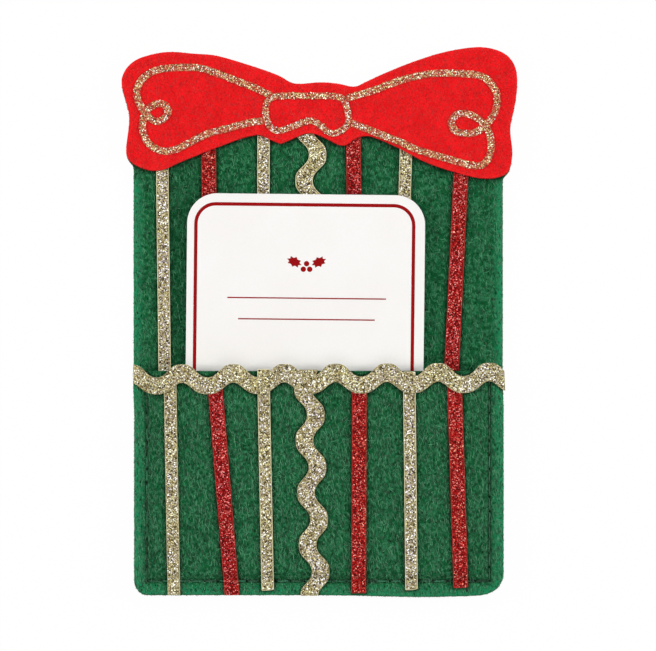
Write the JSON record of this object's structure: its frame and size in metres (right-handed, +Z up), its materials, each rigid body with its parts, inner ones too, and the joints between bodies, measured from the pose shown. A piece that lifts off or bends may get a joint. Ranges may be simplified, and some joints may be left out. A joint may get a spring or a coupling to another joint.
{
  "type": "gift card holder",
  "caption": "Felt gift card holder shaped like a wrapped present: a sewn pocket with a card in it, a red bow on top, glitter strips and ric-rac on its front.",
  "frame": {"origin": "under the middle of the whole outline, on the back face of the felt", "axes": "it lies on its back: +X to the right, +Y up towards the bow, +Z up out of the front"},
  "size_m": [0.0899, 0.1246, 0.0076],
  "materials": {
    "green_felt": "matt pressed felt with a fine fuzz",
    "red_felt": "matt pressed felt with a fine fuzz",
    "gold_glitter": "coarse pale gold glitter flakes",
    "red_glitter": "coarse red glitter flakes",
    "green_thread": "twisted sewing thread",
    "card": "smooth coated card with a printed border"
  },
  "bodies": {
    "holder": {"back_panel": "green_felt", "pocket_panel": "green_felt", "bow": "red_felt", "bow_line_left": "gold_glitter", "bow_line_knot": "gold_glitter", "bow_line_right": "gold_glitter", "back_gold_strip_1": "gold_glitter", "back_red_strip_1": "red_glitter", "back_gold_strip_2": "gold_glitter", "back_ricrac": "gold_glitter", "back_red_strip_2": "red_glitter", "back_gold_strip_3": "gold_glitter", "back_red_strip_3": "red_glitter", "pocket_gold_strip_1": "gold_glitter", "pocket_red_strip_1": "red_glitter", "pocket_gold_strip_2": "gold_glitter", "pocket_ricrac": "gold_glitter", "pocket_red_strip_2": "red_glitter", "pocket_gold_strip_3": "gold_glitter", "pocket_red_strip_3": "red_glitter", "mouth_ricrac": "gold_glitter", "front_thread": "green_thread", "back_thread": "green_thread"},
    "card": {"insert_card": "card"}
  },
  "joints": [
    {"name": "card_slide", "type": "slide", "parent": "holder", "child": "card", "axis": [0, 0.9998, 0.0221], "range_m": [0, 0.12]}
  ]
}
